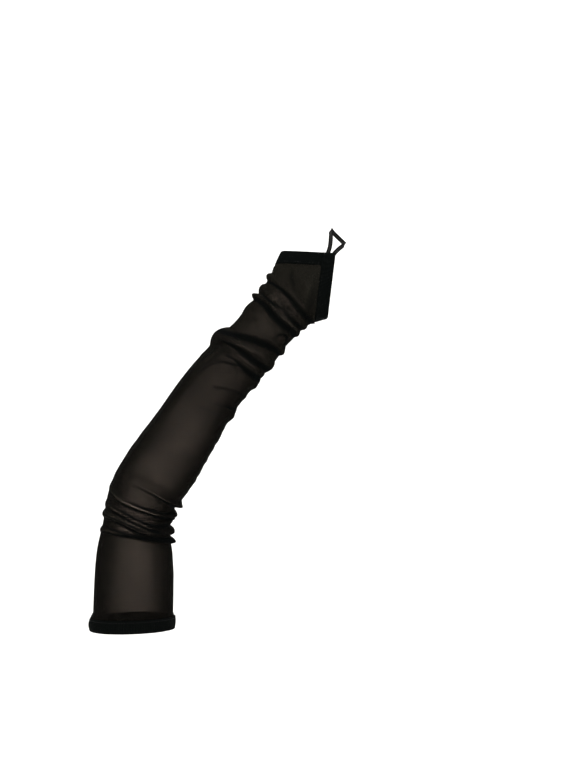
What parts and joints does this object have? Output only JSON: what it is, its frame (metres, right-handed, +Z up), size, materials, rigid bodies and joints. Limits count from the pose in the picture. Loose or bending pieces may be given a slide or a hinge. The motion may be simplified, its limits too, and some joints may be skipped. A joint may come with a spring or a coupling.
{
  "type": "evening mitten",
  "caption": "Long sheer stretch-mesh mitten worn from upper arm to knuckles, with doubled hems, a pointed fingerless hand opening and a loop for the middle finger.",
  "frame": {"origin": "centre of the arm opening, where the upper arm goes in", "axes": "+Z up along the upper arm, +X towards the thumb's side, to which the forearm leans, -Y out of the back of the hand"},
  "size_m": [0.2707, 0.0868, 0.4234],
  "materials": {
    "sheer_mesh": "matt sheer nylon stretch mesh",
    "doubled_mesh": "matt doubled stretch mesh, overlocked and turned",
    "loop_tape": "matt narrow stretch tape, stitched along both edges"
  },
  "bodies": {
    "root": {"sleeve": "sheer_mesh", "arm_hem": "doubled_mesh", "hand_hem": "doubled_mesh", "thumb_hem": "doubled_mesh", "finger_loop": "loop_tape"}
  },
  "joints": []
}
